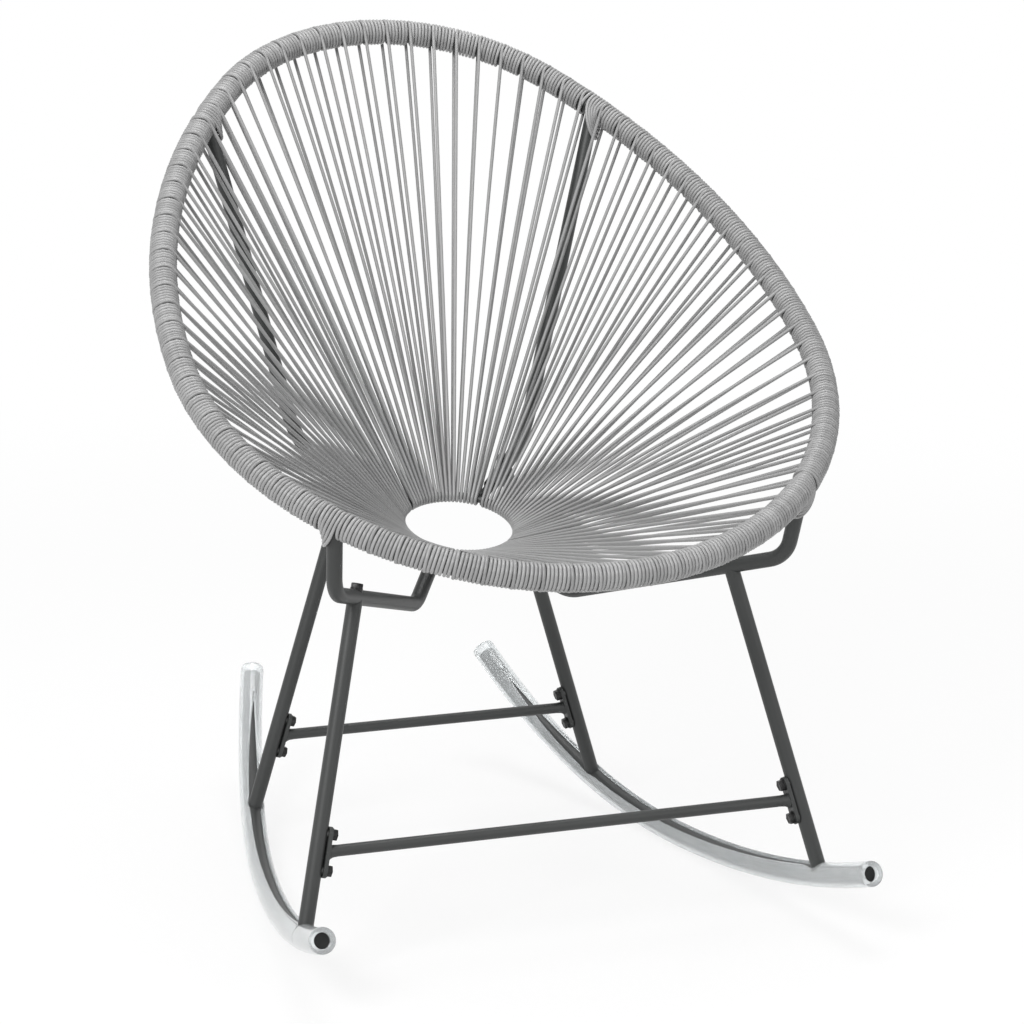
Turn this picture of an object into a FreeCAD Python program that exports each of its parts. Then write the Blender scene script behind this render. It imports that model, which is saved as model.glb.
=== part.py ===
import FreeCAD, Part
import math
import os

# Rocking moon chair: an egg-shaped rim strung with cords round a small ring, on a bent tube frame
# with four legs and two curved runners. Millimetres, +Z up, the sitter faces -Y,
# origin on the floor in the middle of the chair's box.

Vector = FreeCAD.Vector
doc = FreeCAD.newDocument("rocking_moon_chair")

# Driving dimensions, millimetres and degrees
DIMENSIONS = (
    ("overall_width", 725),
    ("overall_depth", 770),
    ("overall_height", 900),
    ("seat_height", 440),
    ("rim_tube_diameter", 22),
    ("rim_tube_wall", 1.2),
    ("rim_back_radius", 250),
    ("rim_side_radius", 672),
    ("rim_sag", 15),
    ("cord_diameter", 3.8),
    ("cord_clearance", 0.2),
    ("back_cord_count", 20),
    ("side_cord_count", 24),
    ("front_cord_count", 20),
    ("ring_radius", 67),
    ("ring_rod_diameter", 8),
    ("ring_setback", 63),
    ("ring_level", 374.5),
    ("ring_tilt", 17),
    ("ring_joint_angle", 50),
    ("frame_tube_diameter", 16),
    ("frame_tube_wall", 1.2),
    ("tongue_thickness", 2.8),
    ("tongue_height", 15),
    ("tongue_length", 33),
    ("tongue_clearance", 1.3),
    ("rim_joint_clearance", 4.6),
    ("support_bend_radius", 34),
    ("stay_bend_radius", 80),
    ("front_bend_x", 245.3),
    ("front_bend_y", -255),
    ("front_bend_z", 397.6),
    ("rear_bend_x", 86.5),
    ("rear_bend_y", -42.5),
    ("rear_bend_z", 319.2),
    ("stay_bend_x", 134.5),
    ("stay_bend_y", 218),
    ("stay_bend_z", 430),
    ("leg_diameter", 16),
    ("leg_wall", 1.2),
    ("front_leg_setback", 67.5),
    ("rear_leg_setback", 66),
    ("front_foot_arc", 299),
    ("rear_foot_arc", 159),
    ("rocker_spread", 242),
    ("rocker_toe_in", 10.5),
    ("rocker_lean", 12),
    ("rocker_low_y", 9.6),
    ("rocker_front_radius", 1060),
    ("rocker_rear_radius", 625),
    ("rocker_tube_diameter", 19),
    ("rocker_tube_wall", 1.2),
    ("rocker_end_inset", 19),
    ("sleeve_diameter", 27),
    ("sleeve_clearance", 0.3),
    ("sleeve_overhang", 12),
    ("sleeve_slit", 11),
    ("sleeve_closed_end", 70),
    ("plug_flange", 2.5),
    ("plug_length", 15),
    ("plug_clearance", 0.3),
    ("stretcher_diameter", 12),
    ("stretcher_wall", 1.2),
    ("front_stretcher_level", 136),
    ("rear_stretcher_level", 122.5),
    ("plate_length", 52),
    ("plate_width", 14.5),
    ("plate_thickness", 4.2),
    ("bolt_spacing", 36.5),
    ("bolt_diameter", 6),
    ("bolt_clearance", 0.3),
    ("bolt_head_flats", 11),
    ("bolt_head_height", 4.8),
    ("side_bolt_length", 18),
    ("leg_bolt_length", 50),
    ("washer_diameter", 13.5),
    ("washer_thickness", 1.2),
    ("insert_diameter", 9),
    ("insert_length", 11),
    ("top_insert_length", 32),
    ("saddle_diameter", 13),
    ("saddle_thickness", 1.5),
)

sheet = doc.addObject("Spreadsheet::Sheet", "Sizes")
for row, (alias, value) in enumerate(DIMENSIONS, start=1):
    sheet.set("A%d" % row, alias)
    sheet.set("B%d" % row, str(value))
    sheet.setAlias("B%d" % row, alias)
doc.recompute()


def size(alias):
    return float(sheet.get(alias))


# Vectors and paths

X_AXIS = Vector(1, 0, 0)
Z_AXIS = Vector(0, 0, 1)


def unit(vector):
    return vector * (1.0 / vector.Length)


def across(vector, direction):
    """The part of a vector that is square to a direction, at unit length."""
    return unit(vector - direction * vector.dot(direction))


def mirrored(shape):
    return shape.mirror(Vector(0, 0, 0), X_AXIS)


def flipped(point):
    return Vector(-point.x, point.y, point.z)


def arc_edge(start, tangent, end):
    """Circular arc from a start point and tangent to an end point, or a line where they lie in line."""
    chord = end - start
    along = unit(chord)
    side = tangent - along * tangent.dot(along)
    if side.Length < 1e-6:
        return Part.LineSegment(start, end).toShape()
    half_angle = math.acos(max(-1.0, min(1.0, tangent.dot(along)))) / 2
    middle = start + chord * 0.5 + unit(side) * (chord.Length / 2 * math.tan(half_angle))
    return Part.Arc(start, middle, end).toShape()


def biarc_edges(start, start_tangent, end, end_tangent):
    """Two arcs that leave start along its tangent, meet smoothly and reach end along its tangent."""
    chord = end - start
    both = start_tangent + end_tangent
    spread = 2 * (1 - start_tangent.dot(end_tangent))
    reach = chord.dot(both)
    if spread < 1e-9:
        arm = chord.dot(chord) / (2 * reach)
    else:
        arm = (math.sqrt(reach * reach + spread * chord.dot(chord)) - reach) / spread
    knee_start = start + start_tangent * arm
    knee_end = end - end_tangent * arm
    joint = (knee_start + knee_end) * 0.5
    joint_tangent = unit(knee_end - knee_start)
    return [arc_edge(start, start_tangent, joint), arc_edge(joint, joint_tangent, end)]


def bent_path(points, radii):
    """Straight runs through the points, with a tangent arc of its own radius at each inner point."""
    edges = []
    here = points[0]
    for before, corner, after, radius in zip(points, points[1:], points[2:], radii):
        inward = unit(corner - before)
        outward = unit(after - corner)
        cut = radius * math.tan(inward.getAngle(outward) / 2)
        arc_start = corner - inward * cut
        arc_end = corner + outward * cut
        edges.append(Part.LineSegment(here, arc_start).toShape())
        edges.append(arc_edge(arc_start, inward, arc_end))
        here = arc_end
    edges.append(Part.LineSegment(here, points[-1]).toShape())
    return Part.Wire(edges)


def swept(path, radius):
    """Round solid along a path."""
    first = path.Edges[0]
    start = first.valueAt(first.FirstParameter)
    tangent = first.tangentAt(first.FirstParameter)
    circle = Part.Wire([Part.Circle(start, tangent, radius).toShape()])
    return path.makePipeShell([circle], True, False)


def largest(shape):
    """The biggest solid of a cut shape, without its offcuts."""
    return max(shape.Solids, key=lambda solid: solid.Volume)


def rod(start, end, radius):
    return Part.makeCylinder(radius, (end - start).Length, start, end - start)


# Rim: an egg-shaped loop in a slanting plane, with its sides a little lower than the plane

CORD = size("cord_diameter")
CORD_RADIUS = CORD / 2
RIM_RADIUS = size("rim_tube_diameter") / 2
WRAP_RADIUS = RIM_RADIUS + CORD
RIM_HALF_WIDTH = size("overall_width") / 2 - WRAP_RADIUS
RIM_FRONT = Vector(0, WRAP_RADIUS - size("overall_depth") / 2, size("seat_height") - WRAP_RADIUS)
RIM_BACK = Vector(0, size("overall_depth") / 2 - WRAP_RADIUS, size("overall_height") - WRAP_RADIUS)
RIM_LENGTH = (RIM_BACK - RIM_FRONT).Length
RIM_SLOPE = unit(RIM_BACK - RIM_FRONT)
RIM_UP = X_AXIS.cross(RIM_SLOPE)
BACK_RADIUS = size("rim_back_radius")
SIDE_RADIUS = size("rim_side_radius")
SIDE_BULGE = SIDE_RADIUS - RIM_HALF_WIDTH
BACK_REACH = math.sqrt((RIM_HALF_WIDTH - BACK_RADIUS) * (2 * SIDE_RADIUS - RIM_HALF_WIDTH - BACK_RADIUS))
WIDEST = RIM_LENGTH - BACK_RADIUS - BACK_REACH
FRONT_RADIUS = (2 * SIDE_RADIUS * RIM_HALF_WIDTH - RIM_HALF_WIDTH ** 2 - WIDEST ** 2) / (2 * (SIDE_RADIUS - WIDEST))
FRONT_TURN = math.atan2(SIDE_BULGE, WIDEST - FRONT_RADIUS)
BACK_TURN = math.atan2(SIDE_BULGE, BACK_REACH)
SIDE_TURN = math.pi - FRONT_TURN - BACK_TURN
FRONT_ARC = FRONT_RADIUS * FRONT_TURN
SIDE_ARC = SIDE_RADIUS * SIDE_TURN
BACK_ARC = BACK_RADIUS * BACK_TURN
RIM_HALF_ARC = FRONT_ARC + SIDE_ARC + BACK_ARC
FRONT_COUNT = int(size("front_cord_count"))
SIDE_COUNT = int(size("side_cord_count"))
BACK_COUNT = int(size("back_cord_count"))
RIM_PITCH = 2 * RIM_HALF_ARC / (FRONT_COUNT + 2 * SIDE_COUNT + BACK_COUNT)


def rim_outline(arc):
    """Distance along the slope, distance sideways, and their rates, at an arc from the front middle."""
    if arc < FRONT_ARC:
        turn = arc / FRONT_RADIUS
        centre = (FRONT_RADIUS, 0.0)
        radius = FRONT_RADIUS
    elif arc < FRONT_ARC + SIDE_ARC:
        turn = FRONT_TURN + (arc - FRONT_ARC) / SIDE_RADIUS
        centre = (WIDEST, -SIDE_BULGE)
        radius = SIDE_RADIUS
    else:
        turn = math.pi - (RIM_HALF_ARC - arc) / BACK_RADIUS
        centre = (RIM_LENGTH - BACK_RADIUS, 0.0)
        radius = BACK_RADIUS
    along = centre[0] - radius * math.cos(turn)
    sideways = centre[1] + radius * math.sin(turn)
    return along, sideways, math.sin(turn), math.cos(turn)


def rim_point(arc):
    """Point and tangent of the rim's axis on the +X side, at an arc from the front middle."""
    along, sideways, along_rate, side_rate = rim_outline(arc)
    share = along / RIM_LENGTH
    drop = 4 * size("rim_sag") * share * (1 - share)
    drop_rate = 4 * size("rim_sag") / RIM_LENGTH * (1 - 2 * share)
    point = RIM_FRONT + RIM_SLOPE * along + X_AXIS * sideways - RIM_UP * drop
    tangent = RIM_SLOPE * along_rate + X_AXIS * side_rate - RIM_UP * (drop_rate * along_rate)
    return point, unit(tangent)


def rim_path():
    """The rim's axis from the front middle to the back middle on the +X side, in smooth arcs."""
    breaks = [0.0, FRONT_ARC / 2, FRONT_ARC, FRONT_ARC + SIDE_ARC / 2, FRONT_ARC + SIDE_ARC]
    breaks += [RIM_HALF_ARC - BACK_ARC / 2, RIM_HALF_ARC]
    edges = []
    for near, far in zip(breaks, breaks[1:]):
        start, start_tangent = rim_point(near)
        end, end_tangent = rim_point(far)
        edges += biarc_edges(start, start_tangent, end, end_tangent)
    return Part.Wire(edges)


RIM_PATH = rim_path()


def rim_solid(radius):
    half = swept(RIM_PATH, radius)
    return half.fuse(mirrored(half)).removeSplitter()


RIM_CORE = rim_solid(RIM_RADIUS)
WOUND_RIM = rim_solid(WRAP_RADIUS)

# Middle ring and where the frame tubes meet it

RING_CENTRE = Vector(0, size("ring_setback"), size("ring_level"))
RING_TILT = math.radians(size("ring_tilt"))
RING_UP = Vector(0, -math.sin(RING_TILT), math.cos(RING_TILT))
RING_BACK = Vector(0, math.cos(RING_TILT), math.sin(RING_TILT))
RING_RADIUS = size("ring_radius")
RING_ROD_RADIUS = size("ring_rod_diameter") / 2
RING_CORE = Part.makeTorus(RING_RADIUS, RING_ROD_RADIUS, RING_CENTRE, RING_UP)


def ring_direction(angle):
    """Outward direction of the ring at an angle from +X, in degrees."""
    return X_AXIS * math.cos(math.radians(angle)) + RING_BACK * math.sin(math.radians(angle))


def ring_point(angle):
    return RING_CENTRE + ring_direction(angle) * RING_RADIUS


# Frame tubes of the +X side

FRAME_RADIUS = size("frame_tube_diameter") / 2
FRAME_BORE = FRAME_RADIUS - size("frame_tube_wall")
FRONT_BEND = Vector(size("front_bend_x"), size("front_bend_y"), size("front_bend_z"))
REAR_BEND = Vector(size("rear_bend_x"), size("rear_bend_y"), size("rear_bend_z"))
STAY_BEND = Vector(size("stay_bend_x"), size("stay_bend_y"), size("stay_bend_z"))
SUPPORT_TOP = rim_point(FRONT_COUNT / 2 * RIM_PITCH)[0]
STAY_TOP = rim_point(RIM_HALF_ARC - BACK_COUNT / 2 * RIM_PITCH)[0]
FRONT_JOINT = ring_point(-size("ring_joint_angle"))
BACK_JOINT = ring_point(size("ring_joint_angle"))


def tube_end(bend, joint):
    """Where a frame tube stops short of the ring: its flattened tongue bridges the rest."""
    return joint + unit(bend - joint) * size("tongue_length")


def tongue(bend, joint):
    """Flattened tube end, on edge so that the cords pass either side of it."""
    towards = unit(joint - bend)
    sideways = unit(towards.cross(Z_AXIS))
    upwards = sideways.cross(towards)
    length = 2 * size("tongue_length")
    block = Part.makeBox(length, size("tongue_thickness"), size("tongue_height"))
    block.translate(Vector(-length, -size("tongue_thickness") / 2, -size("tongue_height") / 2))
    block.Placement = FreeCAD.Placement(joint, FreeCAD.Rotation(towards, sideways, upwards)).multiply(block.Placement)
    return block.cut(RING_CORE)


def frame_tube(points, radii, bend, joint, holes):
    """Bent tube from the rim to the ring, its end shaped to the rim and its other end pressed flat."""
    path = bent_path(points, radii)
    outer = swept(path, FRAME_RADIUS)
    tube = outer.cut(swept(path, FRAME_BORE))
    tube = tube.fuse(largest(tongue(bend, joint)))
    return tube.cut([RIM_CORE] + holes), outer


SUPPORT_POINTS = [SUPPORT_TOP, FRONT_BEND, REAR_BEND, tube_end(REAR_BEND, FRONT_JOINT)]
SUPPORT_RADII = [size("support_bend_radius")] * 2
STAY_POINTS = [STAY_TOP, STAY_BEND, tube_end(STAY_BEND, BACK_JOINT)]
STAY_RADII = [size("stay_bend_radius")]

# Rockers of the +X side: two arcs that meet at the lowest point, in a plane that leans in and toes in

TOE = math.radians(size("rocker_toe_in"))
LEAN = math.radians(size("rocker_lean"))
ROCKER_BACKWARD = Vector(-math.sin(TOE), math.cos(TOE), 0)
ROCKER_INWARD = Vector(-math.cos(TOE), -math.sin(TOE), 0)
ROCKER_UP = ROCKER_INWARD * math.sin(LEAN) + Z_AXIS * math.cos(LEAN)
ROCKER_SIDE = ROCKER_BACKWARD.cross(ROCKER_UP)
ROCKER_RADIUS = size("rocker_tube_diameter") / 2
SLEEVE_RADIUS = size("sleeve_diameter") / 2
SLEEVE_BORE = ROCKER_RADIUS + size("sleeve_clearance")
ROCKER_LOW_Y = size("rocker_low_y")
ROCKER_LOW = Vector(size("rocker_spread") - math.tan(TOE) * ROCKER_LOW_Y, ROCKER_LOW_Y, SLEEVE_RADIUS)
FRONT_BOW = size("rocker_front_radius")
REAR_BOW = size("rocker_rear_radius")


def rocker_point(arc):
    """Point and backward tangent of a rocker's axis at an arc behind (+) or ahead (-) of its low point."""
    bow = REAR_BOW if arc > 0 else FRONT_BOW
    turn = arc / bow
    along = ROCKER_BACKWARD * (bow * math.sin(turn))
    rise = ROCKER_UP * (bow * (1 - math.cos(turn)))
    tangent = ROCKER_BACKWARD * math.cos(turn) + ROCKER_UP * math.sin(turn)
    return ROCKER_LOW + along + rise, tangent


def rocker_arc_to(reach):
    """Arc from the low point to where the axis reaches the given Y, found by halving."""
    near = 0.0
    far = math.copysign(size("overall_depth"), reach)
    for step in range(60):
        middle = (near + far) / 2
        if abs(rocker_point(middle)[0].y) < abs(reach):
            near = middle
        else:
            far = middle
    return near


ROCKER_REACH = size("overall_depth") / 2 - size("rocker_end_inset")
ROCKER_FRONT_ARC = rocker_arc_to(-ROCKER_REACH)
ROCKER_REAR_ARC = rocker_arc_to(ROCKER_REACH)


def rocker_path(front_arc, rear_arc):
    low_tangent = rocker_point(0.0)[1]
    front, front_tangent = rocker_point(front_arc)
    rear = rocker_point(rear_arc)[0]
    return Part.Wire([arc_edge(front, front_tangent, ROCKER_LOW), arc_edge(ROCKER_LOW, low_tangent, rear)])


def bow_of(face, arc, bow):
    """Turn a section that stands at the low point along the front (-) or rear (+) arc of the rocker."""
    centre = ROCKER_LOW + ROCKER_UP * bow
    return face.revolve(centre, ROCKER_SIDE, math.degrees(arc / bow))


def sleeve_section():
    """Ring section of the sleeve at the low point."""
    outer = Part.Wire([Part.Circle(ROCKER_LOW, ROCKER_BACKWARD, SLEEVE_RADIUS).toShape()])
    inner = Part.Wire([Part.Circle(ROCKER_LOW, ROCKER_BACKWARD, SLEEVE_BORE).toShape()])
    return Part.Face(outer).cut(Part.Face(inner)).Faces[0]


def slit_section():
    """Section of the slit along the top of the sleeve at the low point."""
    half = ROCKER_SIDE * (size("sleeve_slit") / 2)
    rise = ROCKER_UP * (2 * SLEEVE_RADIUS)
    corners = [ROCKER_LOW - half, ROCKER_LOW + half, ROCKER_LOW + half + rise, ROCKER_LOW - half + rise]
    return Part.Face(Part.makePolygon(corners + corners[:1]))


ROCKER_PATH = rocker_path(ROCKER_FRONT_ARC, ROCKER_REAR_ARC)
ROCKER_OUTER = swept(ROCKER_PATH, ROCKER_RADIUS)

# Legs of the +X side, from the frame tubes to the rockers

LEG_RADIUS = size("leg_diameter") / 2
LEG_BORE = LEG_RADIUS - size("leg_wall")
FRONT_LEG_TOP = FRONT_BEND + unit(REAR_BEND - FRONT_BEND) * size("front_leg_setback")
REAR_LEG_TOP = STAY_BEND + unit(BACK_JOINT - STAY_BEND) * size("rear_leg_setback")
FRONT_LEG_FOOT = rocker_point(-size("front_foot_arc"))[0]
REAR_LEG_FOOT = rocker_point(size("rear_foot_arc"))[0]


class Leg:
    """Places along one leg: its axis points down, and inner is its side towards the chair's middle."""

    def __init__(self, top, foot, stretcher_level):
        self.top = top
        self.foot = foot
        self.down = unit(foot - top)
        self.inner = across(Vector(-1, 0, 0), self.down)
        self.bracket = top + self.down * ((top.z - stretcher_level) / -self.down.z)
        self.plate_face = self.bracket + self.inner * LEG_RADIUS

    def bolt_seats(self):
        half = size("bolt_spacing") / 2
        return [self.plate_face + self.down * offset for offset in (-half, half)]


FRONT_LEG = Leg(FRONT_LEG_TOP, FRONT_LEG_FOOT, size("front_stretcher_level"))
REAR_LEG = Leg(REAR_LEG_TOP, REAR_LEG_FOOT, size("rear_stretcher_level"))
LEGS = (FRONT_LEG, REAR_LEG)
BOLT_RADIUS = size("bolt_diameter") / 2
BOLT_HOLE = BOLT_RADIUS + size("bolt_clearance")
INSERT_RADIUS = size("insert_diameter") / 2
PLATE_THICKNESS = size("plate_thickness")
SADDLE_SEAT = FRAME_RADIUS + size("saddle_thickness")


def top_bolt_hole(leg):
    return rod(leg.top - leg.down * (2 * FRAME_RADIUS), leg.top + leg.down * (2 * FRAME_RADIUS), BOLT_HOLE)


FRONT_SUPPORT, SUPPORT_OUTER = frame_tube(
    SUPPORT_POINTS, SUPPORT_RADII, REAR_BEND, FRONT_JOINT, [top_bolt_hole(FRONT_LEG)])
BACK_STAY, STAY_OUTER = frame_tube(
    STAY_POINTS, STAY_RADII, STAY_BEND, BACK_JOINT, [top_bolt_hole(REAR_LEG)])


def leg_tube(leg, carrier):
    """Straight leg, hollow, its ends shaped to the frame tube above and the rocker below."""
    tube = rod(leg.top, leg.foot, LEG_RADIUS).cut(rod(leg.top, leg.foot, LEG_BORE))
    holes = [rod(seat, seat - leg.inner * LEG_RADIUS, INSERT_RADIUS) for seat in leg.bolt_seats()]
    return largest(tube.cut([carrier, ROCKER_OUTER] + holes))


# Parts of the document

def feature(label, shape):
    """A sub-part whose shape is worked out above from the sheet's sizes."""
    part = doc.addObject("Part::Feature", label)
    part.Label = label
    part.Shape = shape
    part.Placement = FreeCAD.Placement()
    return part


def primitive(kind, name, **sizes):
    """A primitive with its sizes bound to the sheet."""
    part = doc.addObject(kind, name)
    for name_of_size, formula in sizes.items():
        part.setExpression(name_of_size, formula)
    return part


def boolean(kind, name, base, tool):
    part = doc.addObject(kind, name)
    part.Base = base
    part.Tool = tool
    return part


def both_sides(shapes):
    return Part.makeCompound(shapes + [mirrored(shape) for shape in shapes])


def pair(name, shape):
    """A sub-part and its mirror image on the other side of the chair."""
    return [feature(name + "_right", shape), feature(name + "_left", mirrored(shape))]


def placed(shape, origin, direction):
    """A copy of a shape drawn along +Z, set at an origin with its +Z along a direction."""
    copy = shape.copy()
    copy.Placement = FreeCAD.Placement(origin, FreeCAD.Rotation(Z_AXIS, direction))
    return copy


def bowed(section, front_arc, rear_arc):
    """A section carried along the rocker from the low point to an arc ahead and an arc behind."""
    return [bow_of(section, front_arc, FRONT_BOW), bow_of(section, rear_arc, REAR_BOW)]


def sleeve():
    """Clear hose over a rocker, slit from the front leg almost to its rear end, and open where the legs stand."""
    front_arc = ROCKER_FRONT_ARC - size("sleeve_overhang")
    rear_arc = ROCKER_REAR_ARC + size("sleeve_overhang")
    closed = size("sleeve_closed_end")
    front, rear = bowed(sleeve_section(), front_arc, rear_arc)
    slits = bowed(slit_section(), -size("front_foot_arc"), rear_arc - closed)
    gap = LEG_RADIUS + size("sleeve_clearance")
    openings = [rod(leg.top, leg.foot, gap) for leg in LEGS]
    return front.fuse(rear).cut(slits + openings).removeSplitter()


def winding_near(rim_at, rim_tangent, away):
    """The winding round a short length of the rim, with its seam on the side away from the cords."""
    outward = across(away, rim_tangent)
    length = Part.makeCylinder(WRAP_RADIUS + size("cord_clearance") / 2, 2 * RIM_PITCH)
    turn = FreeCAD.Rotation(outward, rim_tangent.cross(outward), rim_tangent)
    length.Placement = FreeCAD.Placement(rim_at - rim_tangent * RIM_PITCH, turn)
    return length


def cord_run(rim_at, rim_tangent, ring_angle):
    """One cord from the rim's winding, round the ring's rod from the hole's side, and back to the winding."""
    ring_at = ring_point(ring_angle)
    outward = ring_direction(ring_angle)
    ring_tangent = RING_UP.cross(outward)
    reach = unit(rim_at - ring_at)
    ring_lift = unit(ring_tangent.cross(reach))
    if ring_lift.dot(RING_UP) < 0:
        ring_lift = ring_lift * -1
    rim_lift = unit(rim_tangent.cross(reach))
    if rim_lift.dot(RIM_UP) < 0:
        rim_lift = rim_lift * -1
    ring_gap = RING_ROD_RADIUS + CORD_RADIUS + size("cord_clearance")
    rim_gap = RIM_RADIUS + CORD_RADIUS
    upper_end = rim_at + rim_lift * rim_gap
    lower_end = rim_at - rim_lift * rim_gap
    upper_turn = ring_at + ring_lift * ring_gap
    lower_turn = ring_at - ring_lift * ring_gap
    inbound = unit(upper_turn - upper_end)
    outbound = unit(lower_end - lower_turn)
    edges = [Part.LineSegment(upper_end, upper_turn).toShape()]
    edges += biarc_edges(upper_turn, inbound, lower_turn, outbound)
    edges.append(Part.LineSegment(lower_turn, lower_end).toShape())
    run = swept(Part.Wire(edges), CORD_RADIUS)
    return largest(run.cut(winding_near(rim_at, rim_tangent, reach)))


JOINT_GAP = math.degrees((size("tongue_thickness") / 2 + size("tongue_clearance") + CORD_RADIUS) / RING_RADIUS)
JOINT_ROOM = FRAME_RADIUS + CORD_RADIUS + size("rim_joint_clearance")


def cord_zone(count, first_arc, first_angle, last_angle):
    """The cords of one zone: even steps along the rim and round the ring, from one frame tube to the next."""
    runs = []
    rim_step = (count * RIM_PITCH - 2 * JOINT_ROOM) / (count - 1)
    step = (last_angle - first_angle - 2 * JOINT_GAP) / (count - 1)
    for index in range(count):
        arc = first_arc + JOINT_ROOM + index * rim_step
        point, tangent = rim_point(abs(arc) if abs(arc) <= RIM_HALF_ARC else 2 * RIM_HALF_ARC - abs(arc))
        if arc < 0 or arc > RIM_HALF_ARC:
            point = flipped(point)
            tangent = flipped(tangent)
        runs.append(cord_run(point, tangent, first_angle + JOINT_GAP + index * step))
    return runs


def check_volume(name, shape, path, area):
    """Compare a swept piece's volume with its section times its length."""
    expected = path.Length * area
    print("%s volume %.0f, section times length %.0f" % (name, shape.Volume, expected))


nodes = []

# Seat: rim, winding, ring and cords
rim_tube = RIM_CORE.cut(rim_solid(RIM_RADIUS - size("rim_tube_wall")))
nodes.append(feature("rim_tube", rim_tube))
check_volume("rim core", RIM_CORE, RIM_PATH, 2 * math.pi * RIM_RADIUS ** 2)
tube_room = FRAME_RADIUS + size("cord_clearance")
crossings = [rod(SUPPORT_TOP, FRONT_BEND, tube_room), rod(STAY_TOP, STAY_BEND, tube_room)]
crossings += [mirrored(crossing) for crossing in crossings]
nodes.append(feature("rim_wrap", WOUND_RIM.cut([RIM_CORE] + crossings)))

ring = primitive("Part::Torus", "center_ring", Radius1="Sizes.ring_radius", Radius2="Sizes.ring_rod_diameter / 2")
ring.Placement = FreeCAD.Placement(RING_CENTRE, FreeCAD.Rotation(Z_AXIS, RING_UP))
nodes.append(ring)

joint_angle = size("ring_joint_angle")
side_start = FRONT_COUNT / 2 * RIM_PITCH
back_start = side_start + SIDE_COUNT * RIM_PITCH
front_cords = cord_zone(FRONT_COUNT, -side_start, -180 + joint_angle, -joint_angle)
right_cords = cord_zone(SIDE_COUNT, side_start, -joint_angle, joint_angle)
back_cords = cord_zone(BACK_COUNT, back_start, joint_angle, 180 - joint_angle)
nodes.append(feature("seat_cords_front", Part.makeCompound(front_cords)))
nodes.append(feature("seat_cords_right", Part.makeCompound(right_cords)))
nodes.append(feature("seat_cords_left", Part.makeCompound([mirrored(run) for run in right_cords])))
nodes.append(feature("seat_cords_back", Part.makeCompound(back_cords)))

# Frame: supports, stays, legs, rockers
nodes += pair("front_support", FRONT_SUPPORT)
nodes += pair("back_stay", BACK_STAY)
nodes += pair("front_leg", leg_tube(FRONT_LEG, SUPPORT_OUTER))
nodes += pair("rear_leg", leg_tube(REAR_LEG, STAY_OUTER))
rocker = ROCKER_OUTER.cut(swept(ROCKER_PATH, ROCKER_RADIUS - size("rocker_tube_wall")))
nodes += pair("rocker", rocker)
check_volume("rocker core", ROCKER_OUTER, ROCKER_PATH, math.pi * ROCKER_RADIUS ** 2)
nodes += pair("rocker_sleeve", sleeve())

# Plugs in the rocker ends
plug_head = primitive(
    "Part::Cylinder", "plug_head", Radius="Sizes.rocker_tube_diameter / 2", Height="Sizes.plug_flange")
plug_body = primitive(
    "Part::Cylinder", "plug_body",
    Radius="Sizes.rocker_tube_diameter / 2 - Sizes.rocker_tube_wall - Sizes.plug_clearance",
    Height="Sizes.plug_length")
plug_body.setExpression("Placement.Base.z", "-Sizes.plug_length")
plug_master = boolean("Part::Fuse", "plug_master", plug_head, plug_body)

# Hexagon bolt, washer, saddle and inserts, drawn along +Z from their seats
bolt_head = primitive(
    "Part::Prism", "bolt_head", Circumradius="Sizes.bolt_head_flats / sqrt(3)", Height="Sizes.bolt_head_height")
side_shank = primitive(
    "Part::Cylinder", "side_shank", Radius="Sizes.bolt_diameter / 2", Height="Sizes.side_bolt_length")
side_shank.setExpression("Placement.Base.z", "-Sizes.side_bolt_length")
side_bolt_master = boolean("Part::Fuse", "side_bolt_master", bolt_head, side_shank)
leg_shank = primitive(
    "Part::Cylinder", "leg_shank", Radius="Sizes.bolt_diameter / 2", Height="Sizes.leg_bolt_length")
leg_shank.setExpression("Placement.Base.z", "-Sizes.leg_bolt_length")
leg_bolt_master = boolean("Part::Fuse", "leg_bolt_master", bolt_head, leg_shank)
washer_disc = primitive(
    "Part::Cylinder", "washer_disc", Radius="Sizes.washer_diameter / 2", Height="Sizes.washer_thickness")
washer_hole = primitive(
    "Part::Cylinder", "washer_hole",
    Radius="Sizes.bolt_diameter / 2 + Sizes.bolt_clearance", Height="Sizes.washer_thickness")
washer_master = boolean("Part::Cut", "washer_master", washer_disc, washer_hole)
insert_body = primitive(
    "Part::Cylinder", "insert_body", Radius="Sizes.insert_diameter / 2", Height="Sizes.insert_length")
insert_thread = primitive(
    "Part::Cylinder", "insert_thread", Radius="Sizes.bolt_diameter / 2", Height="Sizes.insert_length")
insert_master = boolean("Part::Cut", "insert_master", insert_body, insert_thread)
top_insert_body = primitive(
    "Part::Cylinder", "top_insert_body",
    Radius="Sizes.leg_diameter / 2 - Sizes.leg_wall", Height="Sizes.top_insert_length")
top_insert_thread = primitive(
    "Part::Cylinder", "top_insert_thread", Radius="Sizes.bolt_diameter / 2", Height="Sizes.top_insert_length")
top_insert_master = boolean("Part::Cut", "top_insert_master", top_insert_body, top_insert_thread)

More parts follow.
